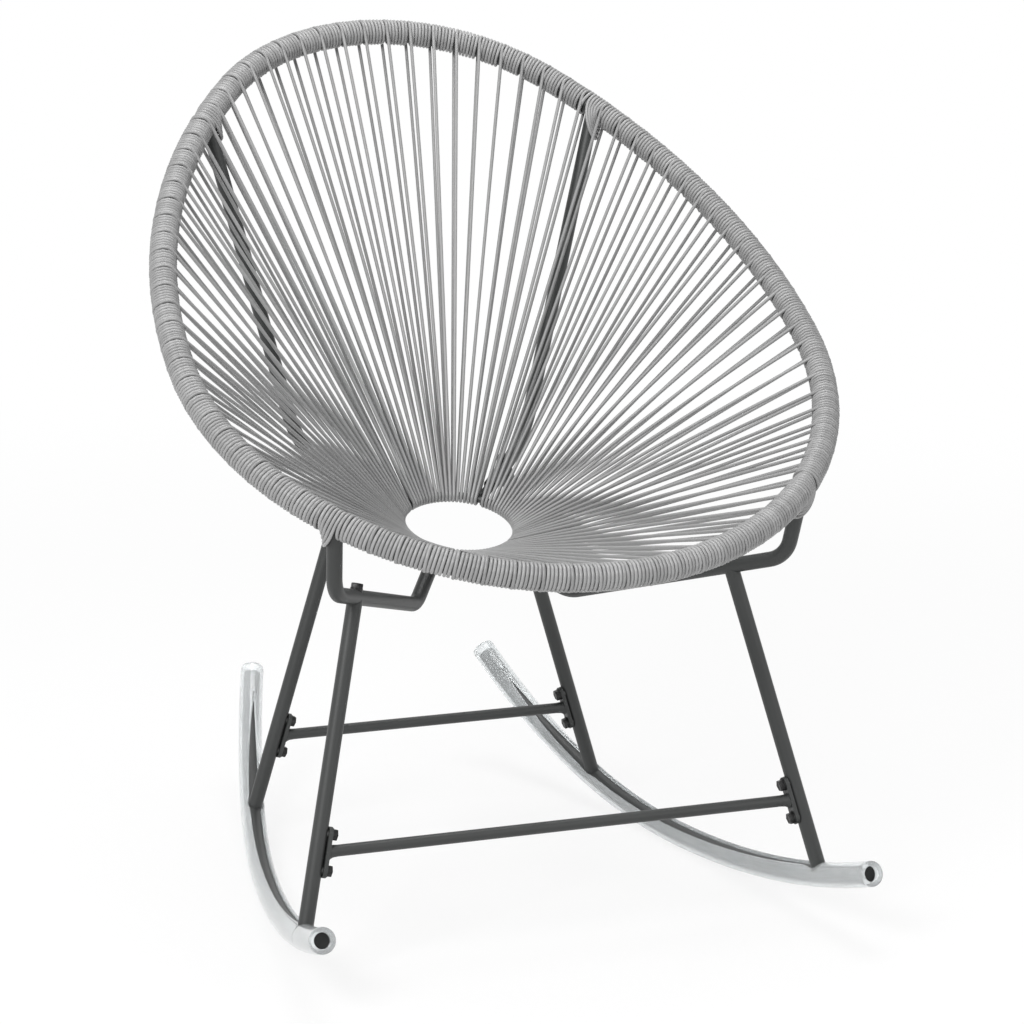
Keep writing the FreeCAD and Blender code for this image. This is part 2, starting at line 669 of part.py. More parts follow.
# Stretcher plate: a slot-shaped plate with two holes, its length along X, its thickness along +Z
plate_bar = primitive(
    "Part::Box", "plate_bar", Length="Sizes.plate_length - Sizes.plate_width",
    Width="Sizes.plate_width", Height="Sizes.plate_thickness")
plate_bar.setExpression("Placement.Base.x", "(Sizes.plate_width - Sizes.plate_length) / 2")
plate_bar.setExpression("Placement.Base.y", "-Sizes.plate_width / 2")
plate_rounds = []
plate_holes = []
for name, sign in (("upper", "-"), ("lower", "")):
    plate_round = primitive(
        "Part::Cylinder", "plate_round_" + name, Radius="Sizes.plate_width / 2", Height="Sizes.plate_thickness")
    plate_round.setExpression("Placement.Base.x", sign + "(Sizes.plate_length - Sizes.plate_width) / 2")
    plate_rounds.append(plate_round)
    plate_hole = primitive(
        "Part::Cylinder", "plate_hole_" + name,
        Radius="Sizes.bolt_diameter / 2 + Sizes.bolt_clearance", Height="Sizes.plate_thickness")
    plate_hole.setExpression("Placement.Base.x", sign + "Sizes.bolt_spacing / 2")
    plate_holes.append(plate_hole)
plate_blank = doc.addObject("Part::MultiFuse", "plate_blank")
plate_blank.Shapes = [plate_bar] + plate_rounds
plate_blank.Refine = True
plate_bores = doc.addObject("Part::MultiFuse", "plate_bores")
plate_bores.Shapes = plate_holes
plate_master = boolean("Part::Cut", "plate_master", plate_blank, plate_bores)
doc.recompute()


def plate_at(leg):
    plate = plate_master.Shape.copy()
    turn = FreeCAD.Rotation(leg.down, leg.inner.cross(leg.down), leg.inner)
    plate.Placement = FreeCAD.Placement(leg.plate_face, turn)
    return plate


def stretcher(name, leg):
    """Cross bar between two legs, its ends shaped to the plates that it is welded to."""
    plate = plate_at(leg)
    reach = (leg.plate_face + leg.inner * PLATE_THICKNESS / 2).x
    left = Vector(-reach, leg.plate_face.y, leg.plate_face.z)
    right = Vector(reach, leg.plate_face.y, leg.plate_face.z)
    radius = size("stretcher_diameter") / 2
    bar = rod(left, right, radius).cut(rod(left, right, radius - size("stretcher_wall")))
    bar = largest(bar.cut([plate, mirrored(plate)]))
    return [feature(name, bar), feature(name + "_plates", both_sides([plate]))]


nodes += stretcher("front_stretcher", FRONT_LEG)
nodes += stretcher("rear_stretcher", REAR_LEG)

plugs = []
for arc, sense in ((ROCKER_FRONT_ARC, -1), (ROCKER_REAR_ARC, 1)):
    end, tangent = rocker_point(arc)
    plugs.append(placed(plug_master.Shape, end, tangent * sense))
nodes.append(feature("rocker_end_plugs", both_sides(plugs)))

bolts = []
washers = []
inserts = []
for leg in LEGS:
    for seat in leg.bolt_seats():
        washer_seat = seat + leg.inner * PLATE_THICKNESS
        washers.append(placed(washer_master.Shape, washer_seat, leg.inner))
        bolts.append(placed(side_bolt_master.Shape, washer_seat + leg.inner * size("washer_thickness"), leg.inner))
        inserts.append(placed(insert_master.Shape, seat - leg.inner * size("insert_length"), leg.inner))
nodes.append(feature("stretcher_bolts", both_sides(bolts)))
nodes.append(feature("stretcher_washers", both_sides(washers)))
nodes.append(feature("leg_side_inserts", both_sides(inserts)))

leg_bolts = []
saddles = []
top_inserts = []
for leg, outer in ((FRONT_LEG, SUPPORT_OUTER), (REAR_LEG, STAY_OUTER)):
    seat = leg.top - leg.down * SADDLE_SEAT
    leg_bolts.append(placed(leg_bolt_master.Shape, seat, leg.down * -1))
    saddle = rod(leg.top, seat, size("saddle_diameter") / 2).cut([outer, rod(leg.top, seat, BOLT_HOLE)])
    saddles.append(largest(saddle))
    deep_end = leg.top + leg.down * (FRAME_RADIUS + size("top_insert_length"))
    top_inserts.append(largest(placed(top_insert_master.Shape, deep_end, leg.down * -1).cut(outer)))
nodes.append(feature("leg_top_bolts", both_sides(leg_bolts)))
nodes.append(feature("leg_top_saddles", both_sides(saddles)))
nodes.append(feature("leg_top_inserts", both_sides(top_inserts)))

doc.recompute()

# Every object has to be sound before anything is written
for part in doc.Objects:
    for state in part.State:
        if state in ("Invalid", "Error"):
            raise RuntimeError("%s is %s" % (part.Label, state))
for node in nodes:
    if node.Shape.isNull() or not node.Shape.isValid() or not node.Shape.Solids:
        raise RuntimeError("%s has no sound shape" % node.Label)

os.makedirs("parts", exist_ok=True)
for node in nodes:
    node.Shape.exportStep("parts/%s.step" % node.Label)
    box = node.Shape.BoundBox
    print("%-24s solids %3d volume %9.0f z %.1f..%.1f" % (
        node.Label, len(node.Shape.Solids), node.Shape.Volume, box.ZMin, box.ZMax))
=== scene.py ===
import bpy
import math
import random
from mathutils import Matrix, Vector


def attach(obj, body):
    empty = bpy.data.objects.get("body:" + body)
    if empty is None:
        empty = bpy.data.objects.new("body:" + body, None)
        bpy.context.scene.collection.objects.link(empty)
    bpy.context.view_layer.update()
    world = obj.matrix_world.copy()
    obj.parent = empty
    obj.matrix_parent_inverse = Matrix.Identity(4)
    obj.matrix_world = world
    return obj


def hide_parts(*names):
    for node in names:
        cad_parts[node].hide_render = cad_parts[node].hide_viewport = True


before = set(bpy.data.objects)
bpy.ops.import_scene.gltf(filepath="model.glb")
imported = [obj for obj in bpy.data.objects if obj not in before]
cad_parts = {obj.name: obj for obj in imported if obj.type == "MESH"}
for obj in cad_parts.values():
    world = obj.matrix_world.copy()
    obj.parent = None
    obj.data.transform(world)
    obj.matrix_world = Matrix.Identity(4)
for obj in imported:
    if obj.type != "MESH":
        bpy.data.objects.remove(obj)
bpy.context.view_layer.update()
scene = bpy.context.scene
scene.view_settings.view_transform = "Standard"
luck = random.Random(7)

# Sizes of the chair, in metres
WIDTH = 0.725
DEPTH = 0.770
HEIGHT = 0.900
SEAT = 0.440
CORD = 0.0038
CORD_CLEARANCE = 0.0002
RIM_TUBE = 0.022
RIM_BACK_RADIUS = 0.250
RIM_SIDE_RADIUS = 0.672
RIM_SAG = 0.015
RIM_JOINT_CLEARANCE = 0.0046
RING_RADIUS = 0.067
RING_ROD = 0.008
RING_CENTRE = Vector((0, 0.063, 0.3745))
RING_TILT = math.radians(17)
RING_JOINT = 50
TONGUE = 0.0028
TONGUE_CLEARANCE = 0.0013
FRONT_CORDS = 20
SIDE_CORDS = 24
BACK_CORDS = 20
FRAME_TUBE = 0.016
FRONT_BEND = Vector((0.2453, -0.255, 0.3976))
REAR_BEND = Vector((0.0865, -0.0425, 0.3192))
STAY_BEND = Vector((0.1345, 0.218, 0.430))
LEG_TUBE = 0.016
FRONT_LEG_SETBACK = 0.0675
REAR_LEG_SETBACK = 0.066
FRONT_FOOT_ARC = -0.299
REAR_FOOT_ARC = 0.159
ROCKER_SPREAD = 0.242
ROCKER_TOE = math.radians(10.5)
ROCKER_LEAN = math.radians(12)
ROCKER_LOW_Y = 0.0096
FRONT_BOW = 1.060
REAR_BOW = 0.625
ROCKER_END_INSET = 0.019
HOSE_RADIUS = 0.0135
HOSE_WALL = 0.0037
HOSE_OVERHANG = 0.012
FRONT_STRETCHER_LEVEL = 0.136
REAR_STRETCHER_LEVEL = 0.1225
PLATE = 0.0042
BOLT = 0.006
BOLT_SPACING = 0.0365
BOLT_FLATS = 0.011
BOLT_HEAD = 0.0048
SIDE_BOLT_LENGTH = 0.018
LEG_BOLT_LENGTH = 0.050
WASHER = 0.0012
SADDLE = 0.0015
X_AXIS = Vector((1, 0, 0))
UPRIGHT = Vector((0, 0, 1))

# The rim's line: an egg of three arcs on a slope, its sides sunk a little

LAY = RIM_TUBE / 2 + CORD / 2
WOUND = RIM_TUBE / 2 + CORD
HALF_WIDTH = WIDTH / 2 - WOUND
RIM_FRONT = Vector((0, WOUND - DEPTH / 2, SEAT - WOUND))
RIM_BACK = Vector((0, DEPTH / 2 - WOUND, HEIGHT - WOUND))
RIM_LENGTH = (RIM_BACK - RIM_FRONT).length
RIM_SLOPE = (RIM_BACK - RIM_FRONT).normalized()
RIM_UP = X_AXIS.cross(RIM_SLOPE)
SIDE_BULGE = RIM_SIDE_RADIUS - HALF_WIDTH
BACK_REACH = math.sqrt(
    (HALF_WIDTH - RIM_BACK_RADIUS) * (2 * RIM_SIDE_RADIUS - HALF_WIDTH - RIM_BACK_RADIUS))
WIDEST = RIM_LENGTH - RIM_BACK_RADIUS - BACK_REACH
FRONT_RADIUS = ((2 * RIM_SIDE_RADIUS * HALF_WIDTH - HALF_WIDTH ** 2 - WIDEST ** 2)
                / (2 * (RIM_SIDE_RADIUS - WIDEST)))
FRONT_TURN = math.atan2(SIDE_BULGE, WIDEST - FRONT_RADIUS)
BACK_TURN = math.atan2(SIDE_BULGE, BACK_REACH)
FRONT_ARC = FRONT_RADIUS * FRONT_TURN
SIDE_ARC = RIM_SIDE_RADIUS * (math.pi - FRONT_TURN - BACK_TURN)
HALF_ARC = FRONT_ARC + SIDE_ARC + RIM_BACK_RADIUS * BACK_TURN
CORD_PITCH = 2 * HALF_ARC / (FRONT_CORDS + 2 * SIDE_CORDS + BACK_CORDS)
TURNS_PER_CORD = 7
JOINT_ROOM = FRAME_TUBE / 2 + CORD / 2 + RIM_JOINT_CLEARANCE
FRONT_START = -FRONT_CORDS / 2 * CORD_PITCH
RIGHT_START = FRONT_CORDS / 2 * CORD_PITCH
BACK_START = RIGHT_START + SIDE_CORDS * CORD_PITCH
LEFT_START = BACK_START + BACK_CORDS * CORD_PITCH


def rim_half(arc):
    """Point and tangent of the rim's axis on the right side, at an arc from the front middle."""
    if arc < FRONT_ARC:
        turn = arc / FRONT_RADIUS
        along = FRONT_RADIUS - FRONT_RADIUS * math.cos(turn)
        sideways = FRONT_RADIUS * math.sin(turn)
    elif arc < FRONT_ARC + SIDE_ARC:
        turn = FRONT_TURN + (arc - FRONT_ARC) / RIM_SIDE_RADIUS
        along = WIDEST - RIM_SIDE_RADIUS * math.cos(turn)
        sideways = RIM_SIDE_RADIUS * math.sin(turn) - SIDE_BULGE
    else:
        turn = math.pi - (HALF_ARC - arc) / RIM_BACK_RADIUS
        along = RIM_LENGTH - RIM_BACK_RADIUS - RIM_BACK_RADIUS * math.cos(turn)
        sideways = RIM_BACK_RADIUS * math.sin(turn)
    share = along / RIM_LENGTH
    drop = 4 * RIM_SAG * share * (1 - share)
    fall = 4 * RIM_SAG / RIM_LENGTH * (1 - 2 * share) * math.sin(turn)
    point = RIM_FRONT + RIM_SLOPE * along + X_AXIS * sideways - RIM_UP * drop
    tangent = RIM_SLOPE * math.sin(turn) + X_AXIS * math.cos(turn) - RIM_UP * fall
    return point, tangent.normalized()


def rim_at(arc):
    """Point and tangent all the way round the rim, from the front middle over the right side."""
    arc = (arc + HALF_ARC) % (2 * HALF_ARC) - HALF_ARC
    if arc >= 0:
        return rim_half(arc)
    point, tangent = rim_half(-arc)
    return Vector((-point.x, point.y, point.z)), Vector((tangent.x, -tangent.y, -tangent.z))


def square_to(vector, direction):
    return (vector - direction * vector.dot(direction)).normalized()


# The ring's line, tilted up at the back

RING_UP = Vector((0, -math.sin(RING_TILT), math.cos(RING_TILT)))
RING_BACK = Vector((0, math.cos(RING_TILT), math.sin(RING_TILT)))


def ring_at(angle):
    """Point of the ring's axis, and the way out of the ring there. The angle is in degrees from the right."""
    outward = X_AXIS * math.cos(math.radians(angle)) + RING_BACK * math.sin(math.radians(angle))
    return RING_CENTRE + outward * RING_RADIUS, outward


# The right rocker's line: two bows that meet at its low point, toed in and leaning in

HALVINGS = 40
ROCKER_BACKWARD = Vector((-math.sin(ROCKER_TOE), math.cos(ROCKER_TOE), 0))
ROCKER_INWARD = Vector((-math.cos(ROCKER_TOE), -math.sin(ROCKER_TOE), 0))
ROCKER_UP = ROCKER_INWARD * math.sin(ROCKER_LEAN) + UPRIGHT * math.cos(ROCKER_LEAN)
ROCKER_LOW = Vector((ROCKER_SPREAD - math.tan(ROCKER_TOE) * ROCKER_LOW_Y, ROCKER_LOW_Y, HOSE_RADIUS))


def bow_at(arc):
    """Point and tangent of the rocker's axis in its own plane: X runs back and Z up from the low point."""
    bow = REAR_BOW if arc > 0 else FRONT_BOW
    turn = arc / bow
    point = Vector((bow * math.sin(turn), 0, bow - bow * math.cos(turn)))
    return point, Vector((math.cos(turn), 0, math.sin(turn)))


def rocker_at(arc):
    point, tangent = bow_at(arc)
    place = ROCKER_LOW + ROCKER_BACKWARD * point.x + ROCKER_UP * point.z
    return place, ROCKER_BACKWARD * tangent.x + ROCKER_UP * tangent.z


def rocker_end(sense):
    """Arc from the low point to the front (-1) or rear (+1) end of the rocker's tube."""
    near = 0.0
    far = sense * DEPTH
    for _ in range(HALVINGS):
        middle = (near + far) / 2
        if abs(rocker_at(middle)[0].y) < DEPTH / 2 - ROCKER_END_INSET:
            near = middle
        else:
            far = middle
    return near


HOSE_FRONT = rocker_end(-1) - HOSE_OVERHANG
HOSE_REAR = rocker_end(1) + HOSE_OVERHANG


class Leg:
    """Places along a leg of the right side: down its axis, inner towards the chair's middle."""

    def __init__(self, top, foot_arc, stretcher_level):
        foot, along = rocker_at(foot_arc)
        self.top = top
        self.down = (foot - top).normalized()
        self.inner = square_to(-X_AXIS, self.down)
        bracket = top + self.down * ((top.z - stretcher_level) / -self.down.z)
        self.plate_face = bracket + self.inner * (LEG_TUBE / 2)
        side = ROCKER_UP.cross(ROCKER_BACKWARD)
        rise = -self.down.dot(along.cross(side))
        self.crossing = foot_arc - HOSE_RADIUS * self.down.dot(along) / rise
        self.swing = math.atan2(-self.down.dot(side), rise)


FRONT_LEG = Leg(FRONT_BEND + (REAR_BEND - FRONT_BEND).normalized() * FRONT_LEG_SETBACK,
                FRONT_FOOT_ARC, FRONT_STRETCHER_LEVEL)
REAR_LEG = Leg(STAY_BEND + (ring_at(RING_JOINT)[0] - STAY_BEND).normalized() * REAR_LEG_SETBACK,
               REAR_FOOT_ARC, REAR_STRETCHER_LEVEL)


def mirrored(vector):
    return Vector((-vector.x, vector.y, vector.z))


# Shop helpers. Smooth angles are in degrees: below them, neighbouring faces shade as one

SAME_PLACE = 0.0001
GUIDE_STEPS = 16
SMOOTH_CORD = 75
SMOOTH_FLARE = 60
SMOOTH_HOSE = 45
SMOOTH_BOLT = 35


def put_down_all():
    """Leave edit mode and select nothing."""
    if bpy.context.object and bpy.context.object.mode != "OBJECT":
        bpy.ops.object.mode_set(mode="OBJECT")
    bpy.ops.object.select_all(action="DESELECT")


def pick(piece):
    put_down_all()
    piece.select_set(True)
    bpy.context.view_layer.objects.active = piece


def apply_place(piece):
    pick(piece)
    bpy.ops.object.transform_apply(location=True, rotation=True, scale=True)


def apply_modifiers(piece):
    pick(piece)
    for modifier in list(piece.modifiers):
        bpy.ops.object.modifier_apply(modifier=modifier.name)


def smooth(piece, angle):
    pick(piece)
    bpy.ops.object.shade_smooth_by_angle(angle=math.radians(angle))


def join(pieces, name):
    put_down_all()
    for piece in pieces:
        piece.select_set(True)
    bpy.context.view_layer.objects.active = pieces[0]
    bpy.ops.object.join()
    whole = bpy.context.object
    whole.name = name
    whole.data.name = name
    return whole


def choose(piece, kind, wanted):
    """Open a piece in edit mode with only the vertices, edges or faces that a test wants selected."""
    pick(piece)
    bpy.ops.object.mode_set(mode="EDIT")
    bpy.ops.mesh.select_mode(type=kind)
    bpy.ops.mesh.select_all(action="DESELECT")
    bpy.ops.object.mode_set(mode="OBJECT")
    mesh = piece.data
    for item in {"VERT": mesh.vertices, "EDGE": mesh.edges, "FACE": mesh.polygons}[kind]:
        item.select = wanted(item)
    bpy.ops.object.mode_set(mode="EDIT")


def array(piece, count, offset, welded=False):
    rows = piece.modifiers.new("rows", "ARRAY")
    rows.count = count
    rows.use_relative_offset = False
    rows.use_constant_offset = True
    rows.constant_offset_displace = (offset, 0, 0)
    rows.use_merge_vertices = welded
    rows.merge_threshold = SAME_PLACE
    apply_modifiers(piece)


def guide_along(line, first_arc, last_arc, spans):
    """A smooth guide curve along a line that gives a point and a tangent at each arc."""
    put_down_all()
    bpy.ops.curve.primitive_bezier_curve_add()
    guide = bpy.context.object
    bpy.ops.object.mode_set(mode="EDIT")
    bpy.ops.curve.select_all(action="SELECT")
    bpy.ops.curve.subdivide(number_cuts=spans - 1)
    bpy.ops.object.mode_set(mode="OBJECT")
    guide.data.resolution_u = GUIDE_STEPS
    guide.data.twist_mode = "Z_UP"
    step = (last_arc - first_arc) / spans
    for index, control in enumerate(guide.data.splines[0].bezier_points):
        point, tangent = line(first_arc + index * step)
        control.handle_left_type = "FREE"
        control.handle_right_type = "FREE"
        control.co = point
        control.handle_left = point - tangent * (step / 3)
        control.handle_right = point + tangent * (step / 3)
    return guide


def bend_along(piece, guide):
    bend = piece.modifiers.new("bend", "CURVE")
    bend.object = guide
    bend.deform_axis = "POS_X"
    apply_modifiers(piece)
    bpy.data.objects.remove(guide)


def stand(piece, place, x_way, y_way, z_way):
    """Set a piece, drawn at the origin, at its place along its own three axes."""
    turn = Matrix((x_way, y_way, z_way)).transposed().to_4x4()
    piece.matrix_world = Matrix.Translation(place) @ turn
    apply_place(piece)


def copy_of(piece):
    twin = piece.copy()
    twin.data = piece.data.copy()
    scene.collection.objects.link(twin)
    return twin


def hand_over(piece, material, slot, *nodes):
    """Give a finished piece its material, attach it to the root body, and hide the frame's parts that it
    stands for.
    """
    piece.data.materials.clear()
    piece.data.materials.append(material)
    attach(piece, "root")
    if nodes:
        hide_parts(*nodes)


# Finishes

class Finish:
    """A material's node tree, with short ways to add what it needs."""

    def __init__(self, name, coordinates="Object"):
        self.material = bpy.data.materials.new(name)
        self.material.use_nodes = True
        self.tree = self.material.node_tree
        self.shader = self.tree.nodes["Principled BSDF"]
        place = self.tree.nodes.new("ShaderNodeTexCoord")
        self.place = place.outputs[coordinates]

    def node(self, kind, **settings):
        made = self.tree.nodes.new("ShaderNode" + kind)
        for key, value in settings.items():
            setattr(made, key, value)
        return made

    def link(self, source, target):
        self.tree.links.new(source, target)

    def set(self, **sockets):
        for key, value in sockets.items():
            self.shader.inputs[key.replace("_", " ")].default_value = value

    def noise(self, scale, detail, roughness=0.55, stretch=None):
        place = self.place
        if stretch:
            mapping = self.node("Mapping")
            mapping.inputs["Scale"].default_value = stretch
            self.link(self.place, mapping.inputs["Vector"])
            place = mapping.outputs["Vector"]
        made = self.node("TexNoise")
        made.inputs["Scale"].default_value = scale
        made.inputs["Detail"].default_value = detail
        made.inputs["Roughness"].default_value = roughness
        self.link(place, made.inputs["Vector"])
        return made.outputs["Fac"]

    def ramp(self, source, *stops):
        made = self.node("ValToRGB")
        elements = made.color_ramp.elements
        while len(elements) < len(stops):
            elements.new(0.5)
        for element, (position, colour) in zip(elements, stops):
            element.position = position
            element.color = colour
        self.link(source, made.inputs["Fac"])
        return made.outputs["Color"]

    def spread(self, source, low, high):
        made = self.node("MapRange")
        made.inputs["To Min"].default_value = low
        made.inputs["To Max"].default_value = high
        self.link(source, made.inputs["Value"])
        return made.outputs["Result"]

    def mix(self, factor, source, colour):
        """Blend from a linked colour to a plain one."""
        made = self.node("Mix", data_type="RGBA")
        first, second = [socket for socket in made.inputs if socket.type == "RGBA"]
        self.link(factor, made.inputs["Factor"])
        self.link(source, first)
        second.default_value = colour
        return [socket for socket in made.outputs if socket.type == "RGBA"][0]

    def bump(self, source, strength, depth, under=None):
        made = self.node("Bump")
        made.inputs["Strength"].default_value = strength
        made.inputs["Distance"].default_value = depth
        self.link(source, made.inputs["Height"])
        if under is not None:
            self.link(under, made.inputs["Normal"])
        return made.outputs["Normal"]


def grey(value, tint=(1.0, 1.0, 1.0)):
    return (value * tint[0], value * tint[1], value * tint[2], 1.0)


COOL = (0.94, 1.0, 0.98)


def powder_coat():
    """Dark anthracite powder coat: fine pebbled skin, faint clouding and rubbed spots."""
    coat = Finish("anthracite_powder_coat")
    clouds = coat.noise(9.0, 4.0)
    pebbles = coat.noise(1400.0, 2.0)
    orange_peel = coat.noise(420.0, 2.0)
    rubbed = coat.noise(38.0, 6.0, 0.7)
    base = coat.ramp(clouds, (0.25, grey(0.027, COOL)), (0.75, grey(0.037, COOL)))
    rubs = coat.ramp(rubbed, (0.62, grey(0.0)), (0.78, grey(0.35)))
    colour = coat.mix(rubs, base, grey(0.055, COOL))
    coat.link(colour, coat.shader.inputs["Base Color"])
    coat.link(coat.spread(pebbles, 0.38, 0.52), coat.shader.inputs["Roughness"])
    skin = coat.bump(orange_peel, 0.25, 0.0004)
    skin = coat.bump(pebbles, 0.22, 0.00015, skin)
    coat.link(skin, coat.shader.inputs["Normal"])
    coat.set(Specular_IOR_Level=0.5)
    return coat.material


def grey_cord(name, shade, length):
    """Grey plastic cord: satin skin, fine drawn lines along it and a small difference from cord to cord."""
    cord = Finish(name, "UV")
    tone = cord.node("Attribute", attribute_name="cord_tone")
    lines = cord.noise(1.0, 2.0, 0.5, (2.0, 14.0, 1.0))
    scuffs = cord.noise(2.0, 5.0, 0.65, (length, 3.0, 1.0))
    base = cord.ramp(tone.outputs["Fac"], (0.0, grey(shade * 0.86)), (1.0, grey(shade * 1.12)))
    worn = cord.ramp(scuffs, (0.45, grey(0.0)), (0.8, grey(0.3)))
    colour = cord.mix(worn, base, grey(shade * 1.25))
    cord.link(colour, cord.shader.inputs["Base Color"])
    cord.link(cord.spread(scuffs, 0.30, 0.46), cord.shader.inputs["Roughness"])
    cord.link(cord.bump(lines, 0.2, 0.0002), cord.shader.inputs["Normal"])
    cord.set(Specular_IOR_Level=0.5)
    return cord.material


def clear_hose():
    """Milky clear hose: soft, a little cloudy, with a faint ripple in its skin."""
    hose = Finish("clear_milky_hose")
    haze = hose.noise(30.0, 4.0)
    ripple = hose.noise(14.0, 2.0)
    colour = hose.ramp(haze, (0.3, (0.88, 0.91, 0.92, 1)), (0.7, (0.94, 0.96, 0.965, 1)))
    hose.link(colour, hose.shader.inputs["Base Color"])
    hose.link(hose.spread(haze, 0.10, 0.20), hose.shader.inputs["Roughness"])
    hose.link(hose.bump(ripple, 0.2, 0.002), hose.shader.inputs["Normal"])
    hose.set(Transmission_Weight=0.74, IOR=1.18, Coat_Weight=0.5, Coat_Roughness=0.12)
    return hose.material


def black_plated():
    """Black plated steel of the bolts and washers, with turning marks."""
    steel = Finish("black_plated_steel")
    marks = steel.noise(900.0, 3.0)
    wear = steel.noise(160.0, 5.0, 0.7)
    colour = steel.ramp(wear, (0.45, grey(0.012)), (0.85, grey(0.07)))
    steel.link(colour, steel.shader.inputs["Base Color"])
    steel.link(steel.spread(marks, 0.28, 0.5), steel.shader.inputs["Roughness"])
    steel.link(steel.bump(marks, 0.2, 0.0002), steel.shader.inputs["Normal"])
    steel.set(Metallic=0.5)
    return steel.material


def black_moulding():
    """Black moulded plastic of the end plugs."""
    plastic = Finish("black_moulded_plastic")
    grain = plastic.noise(700.0, 2.0)
    colour = plastic.ramp(grain, (0.3, grey(0.008)), (0.7, grey(0.014)))
    plastic.link(colour, plastic.shader.inputs["Base Color"])
    plastic.link(plastic.spread(grain, 0.5, 0.7), plastic.shader.inputs["Roughness"])
    plastic.link(plastic.bump(grain, 0.3, 0.0003), plastic.shader.inputs["Normal"])
    plastic.set(Specular_IOR_Level=0.3)
    return plastic.material


def zinc():
    """Dull dark zinc plate of the threaded inserts inside the legs."""
    plate = Finish("zinc_plate")
    spangle = plate.noise(300.0, 2.0)
    colour = plate.ramp(spangle, (0.3, grey(0.10)), (0.7, grey(0.18)))
    plate.link(colour, plate.shader.inputs["Base Color"])
    plate.link(plate.spread(spangle, 0.25, 0.45), plate.shader.inputs["Roughness"])
    plate.set(Metallic=0.8)
    return plate.material


POWDER = powder_coat()
# The strung cords are the same grey cord as the winding. Their lower shade (0.275 against 0.30) is painted
# shade for the darker light on the seat's cords.
SHADED_STRUNG = grey_cord("grey_strung_cord_painted_shade", 0.275, 160.0)
WOUND_CORD = grey_cord("grey_wound_cord", 0.30, 10.0)
HOSE = clear_hose()
PLATED = black_plated()
MOULDED = black_moulding()
ZINC = zinc()

PAINTED_NODES = (
    "rim_tube", "center_ring",
    "front_support_left", "front_support_right", "back_stay_left", "back_stay_right",
    "front_leg_left", "front_leg_right", "rear_leg_left", "rear_leg_right",
    "rocker_left", "rocker_right",
    "front_stretcher", "rear_stretcher", "front_stretcher_plates", "rear_stretcher_plates",
)
NODE_FINISHES = {name: POWDER for name in PAINTED_NODES}
NODE_FINISHES.update({name: PLATED for name in ("stretcher_washers", "leg_top_saddles")})
NODE_FINISHES.update({name: ZINC for name in ("leg_side_inserts", "leg_top_inserts")})
NODE_FINISHES["rocker_end_plugs"] = MOULDED
for name, finish in NODE_FINISHES.items():
    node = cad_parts[name]
    node.data.materials.clear()
    node.data.materials.append(finish)


def tone_by_run(piece, points_per_run):
    """Write a tone of its own for each run of cord in a mesh."""
    tones = piece.data.attributes.new("cord_tone", "FLOAT", "POINT")
    runs = len(piece.data.vertices) // points_per_run
    shades = [luck.random() for _ in range(runs + 1)]
    values = [shades[index // points_per_run] for index in range(len(piece.data.vertices))]
    tones.data.foreach_set("value", values)


# Winding round the rim

TURN_SIDES = 12
TURN_SECTION = 6
TURN_POINTS = TURN_SIDES * TURN_SECTION
TURN_LEAN = math.radians(4)
TURN_SHIFT = 0.00018
TURN_SWELL = (0.985, 1.006)
ZONE_SPANS = 12
ZONES = (
    ("front", FRONT_START, FRONT_CORDS, -180 + RING_JOINT, -RING_JOINT),
    ("right", RIGHT_START, SIDE_CORDS, -RING_JOINT, RING_JOINT),
    ("back", BACK_START, BACK_CORDS, RING_JOINT, 180 - RING_JOINT),
    ("left", LEFT_START, SIDE_CORDS, 180 - RING_JOINT, 180 + RING_JOINT),
)


def cord_step(cords):
    """Arc between two strung cords of a zone that leaves room for the frame tubes at both its ends."""
    return (cords * CORD_PITCH - 2 * JOINT_ROOM) / (cords - 1)


def wind_zone(name, first_arc, cords):
    """Turns of cord round the rim between the strung cords of one zone."""
    step = cord_step(cords)
    put_down_all()
    bpy.ops.mesh.primitive_torus_add(
        major_segments=TURN_SIDES, minor_segments=TURN_SECTION, major_radius=LAY, minor_radius=CORD / 2,
        rotation=(0, math.pi / 2 + TURN_LEAN, 0))
    winding = bpy.context.object
    apply_place(winding)
    array(winding, TURNS_PER_CORD, step / TURNS_PER_CORD)
    choose(winding, "VERT", lambda vertex: vertex.index < TURN_POINTS)
    bpy.ops.mesh.delete(type="VERT")
    bpy.ops.object.mode_set(mode="OBJECT")
    array(winding, cords - 1, step)
    turns = len(winding.data.vertices) // TURN_POINTS
    shifts = [luck.uniform(-TURN_SHIFT, TURN_SHIFT) for _ in range(turns)]
    swells = [luck.uniform(*TURN_SWELL) for _ in range(turns)]
    for vertex in winding.data.vertices:
        turn = vertex.index // TURN_POINTS
        vertex.co.x += shifts[turn] + JOINT_ROOM
        vertex.co.y *= swells[turn]
        vertex.co.z *= swells[turn]
    tone_by_run(winding, TURN_POINTS)
    bend_along(winding, guide_along(rim_at, first_arc, first_arc + cords * CORD_PITCH, ZONE_SPANS))
    winding.name = name
    smooth(winding, SMOOTH_CORD)
    return winding


for zone, start, cords, _, _ in ZONES:
    winding = wind_zone("rim_winding_" + zone, start, cords)
    hand_over(winding, WOUND_CORD, "cord", "rim_wrap")


# Cords made along smooth lines

CORD_ROUNDNESS = 2


def knot(point, direction, before, after):
    """A point of a cord's line: where it is, which way the cord goes there, and how stiffly each way."""
    return point, point - direction * before, point + direction * after


